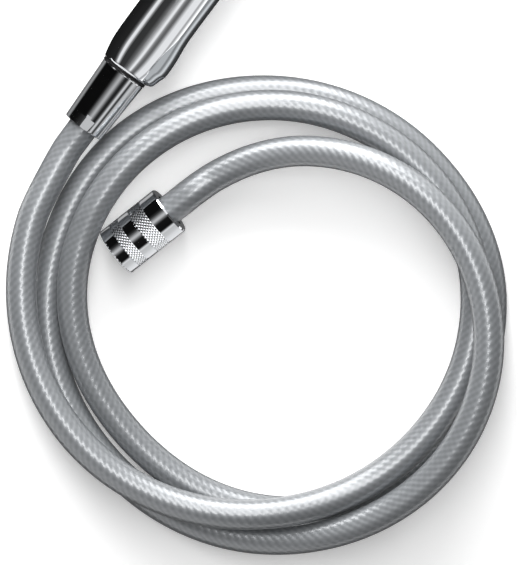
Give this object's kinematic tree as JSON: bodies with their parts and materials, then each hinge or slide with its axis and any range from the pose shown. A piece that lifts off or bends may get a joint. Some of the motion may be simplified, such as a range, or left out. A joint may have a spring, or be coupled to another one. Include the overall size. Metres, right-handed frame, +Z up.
{
  "type": "handheld bath sprayer",
  "caption": "Handheld bath sprayer for washing pets: a chrome handset on a coiled grey braided hose with a knurled supply nut.",
  "frame": {"origin": "on the surface the sprayer lies on, under the middle of the handset's outline", "axes": "+Z up, +Y along the handset towards its head, +X from the handset towards the coiled hose"},
  "size_m": [0.2753, 0.3459, 0.0567],
  "materials": {
    "bright_chrome": "polished chrome plate",
    "ring_chrome": "polished chrome plate",
    "tail_brass": "turned brass",
    "spring_steel": "plain steel",
    "hose_grey": "clear cover over a silver-grey braid",
    "black_rubber": "matt black rubber",
    "nozzle_rubber": "soft grey rubber",
    "face_grey": "satin grey plastic",
    "inner_plastic": "natural white plastic"
  },
  "bodies": {
    "handset": {"front_shell": "bright_chrome", "back_insert": "bright_chrome", "inlet_spigot": "bright_chrome", "end_seal_ring": "black_rubber", "inlet_filter": "inner_plastic", "waterway_tube": "inner_plastic", "valve_seat": "inner_plastic", "plate_seal": "black_rubber", "detent_spring": "spring_steel", "detent_ball": "spring_steel", "face_screw": "spring_steel", "hose": "hose_grey", "handset_tail": "tail_brass", "handset_ferrule": "spring_steel", "handset_washer": "black_rubber", "supply_tail": "tail_brass", "supply_ferrule": "spring_steel", "supply_washer": "black_rubber"},
    "spray_selector": {"face_ring": "ring_chrome", "spray_face": "face_grey", "nozzle_mat": "nozzle_rubber", "selector_disc": "inner_plastic", "screw_cap": "ring_chrome"},
    "cone_nut": {"cone_nut": "bright_chrome"},
    "slip_ring": {"supply_slip_ring": "inner_plastic"},
    "supply_nut": {"supply_nut": "bright_chrome"}
  },
  "joints": [
    {"name": "spray_selector_turn", "type": "hinge", "parent": "handset", "child": "spray_selector", "pos_m": [-0.02184, 0.07001, 0.02831], "axis": [-0.9397, -0.3413, -0.0224], "range_deg": [-45, 45]},
    {"name": "cone_nut_turn", "type": "hinge", "parent": "handset", "child": "cone_nut", "pos_m": [0.01416, -0.10521, 0.01682], "axis": [0, 0.9979, 0.0654], "continuous": true},
    {"name": "supply_nut_slide", "type": "slide", "parent": "handset", "child": "slip_ring", "axis": [0.2585, 0.9559, 0.1392], "range_m": [0, 0.013]},
    {"name": "supply_nut_turn", "type": "hinge", "parent": "slip_ring", "child": "supply_nut", "pos_m": [0.06452, -0.1423, 0.01427], "axis": [-0.2585, -0.9559, -0.1392], "continuous": true}
  ]
}
